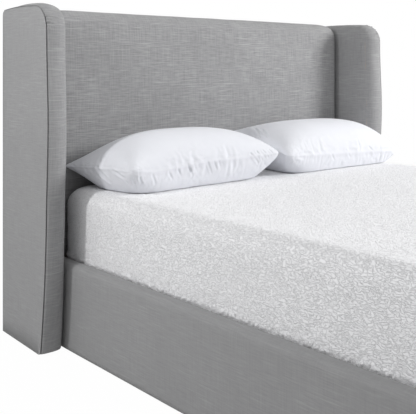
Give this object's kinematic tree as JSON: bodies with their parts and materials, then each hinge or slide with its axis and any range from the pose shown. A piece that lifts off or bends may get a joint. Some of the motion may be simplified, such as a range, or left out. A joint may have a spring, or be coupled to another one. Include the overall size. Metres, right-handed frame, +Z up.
{
  "type": "upholstered bed",
  "caption": "Upholstered wing bed with padded headboard, side rails and footboard, slatted base, mattress, quilted coverlet and bed pillows.",
  "frame": {"origin": "on the floor, under the middle of the bed's outer box", "axes": "+Z up, +Y towards the headboard, +X to the right of someone who stands at the foot and faces the headboard"},
  "size_m": [1.8408, 2.275, 1.2209],
  "materials": {
    "bed_linen": "heathered linen weave",
    "welt_linen": "heathered linen weave",
    "back_linen": "plain linen weave",
    "timber": "planed softwood",
    "plywood": "bare plywood",
    "slat_timber": "planed softwood",
    "plate_steel": "satin black",
    "zinc_steel": "zinc plated",
    "glide_plastic": "matte",
    "webbing": "woven strap",
    "ticking": "woven ticking",
    "quilt": "quilted cotton",
    "pillow_cotton": "plain cotton"
  },
  "bodies": {
    "bed_frame": {"headboard_left_stile": "timber", "headboard_right_stile": "timber", "headboard_top_rail": "timber", "headboard_middle_rail": "timber", "headboard_bottom_rail": "timber", "headboard_front_board": "plywood", "headboard_pad": "bed_linen", "headboard_back_panel": "back_linen", "left_wing_frame": "timber", "right_wing_frame": "timber", "left_wing_outer_panel": "bed_linen", "right_wing_outer_panel": "bed_linen", "left_wing_pad": "bed_linen", "right_wing_pad": "bed_linen", "left_wing_welt": "welt_linen", "right_wing_welt": "welt_linen", "wing_bolts": "zinc_steel", "left_rail_board": "timber", "right_rail_board": "timber", "left_rail_cover": "bed_linen", "right_rail_cover": "bed_linen", "left_rail_cleat": "timber", "right_rail_cleat": "timber", "cleat_screws": "zinc_steel", "rail_hook_plates": "plate_steel", "hook_plate_pins": "zinc_steel", "headboard_slot_plates": "plate_steel", "slot_plate_screws": "zinc_steel", "footboard_board": "timber", "footboard_cover": "bed_linen", "corner_brackets": "plate_steel", "corner_screws": "zinc_steel", "centre_beam": "timber", "beam_hangers": "plate_steel", "hanger_screws": "zinc_steel", "centre_legs": "timber", "leg_bolts": "zinc_steel", "leg_caps": "glide_plastic", "floor_glides": "glide_plastic", "slat_01": "slat_timber", "slat_02": "slat_timber", "slat_03": "slat_timber", "slat_04": "slat_timber", "slat_05": "slat_timber", "slat_06": "slat_timber", "slat_07": "slat_timber", "slat_08": "slat_timber", "slat_09": "slat_timber", "slat_10": "slat_timber", "slat_11": "slat_timber", "slat_12": "slat_timber", "slat_13": "slat_timber", "slat_webbing": "webbing", "slat_screws": "zinc_steel"},
    "bedding": {"mattress": "ticking", "coverlet": "quilt"},
    "pillow_left": {"left_pillow": "pillow_cotton"},
    "pillow_right": {"right_pillow": "pillow_cotton"}
  },
  "joints": [
    {"name": "bedding_lift", "type": "slide", "parent": "bed_frame", "child": "bedding", "axis": [0, 0, 1], "range_m": [0, 0.3]},
    {"name": "left_pillow_lift", "type": "slide", "parent": "bedding", "child": "pillow_left", "axis": [0, 0, 1], "range_m": [0, 0.25]},
    {"name": "right_pillow_lift", "type": "slide", "parent": "bedding", "child": "pillow_right", "axis": [0, 0, 1], "range_m": [0, 0.25]}
  ]
}
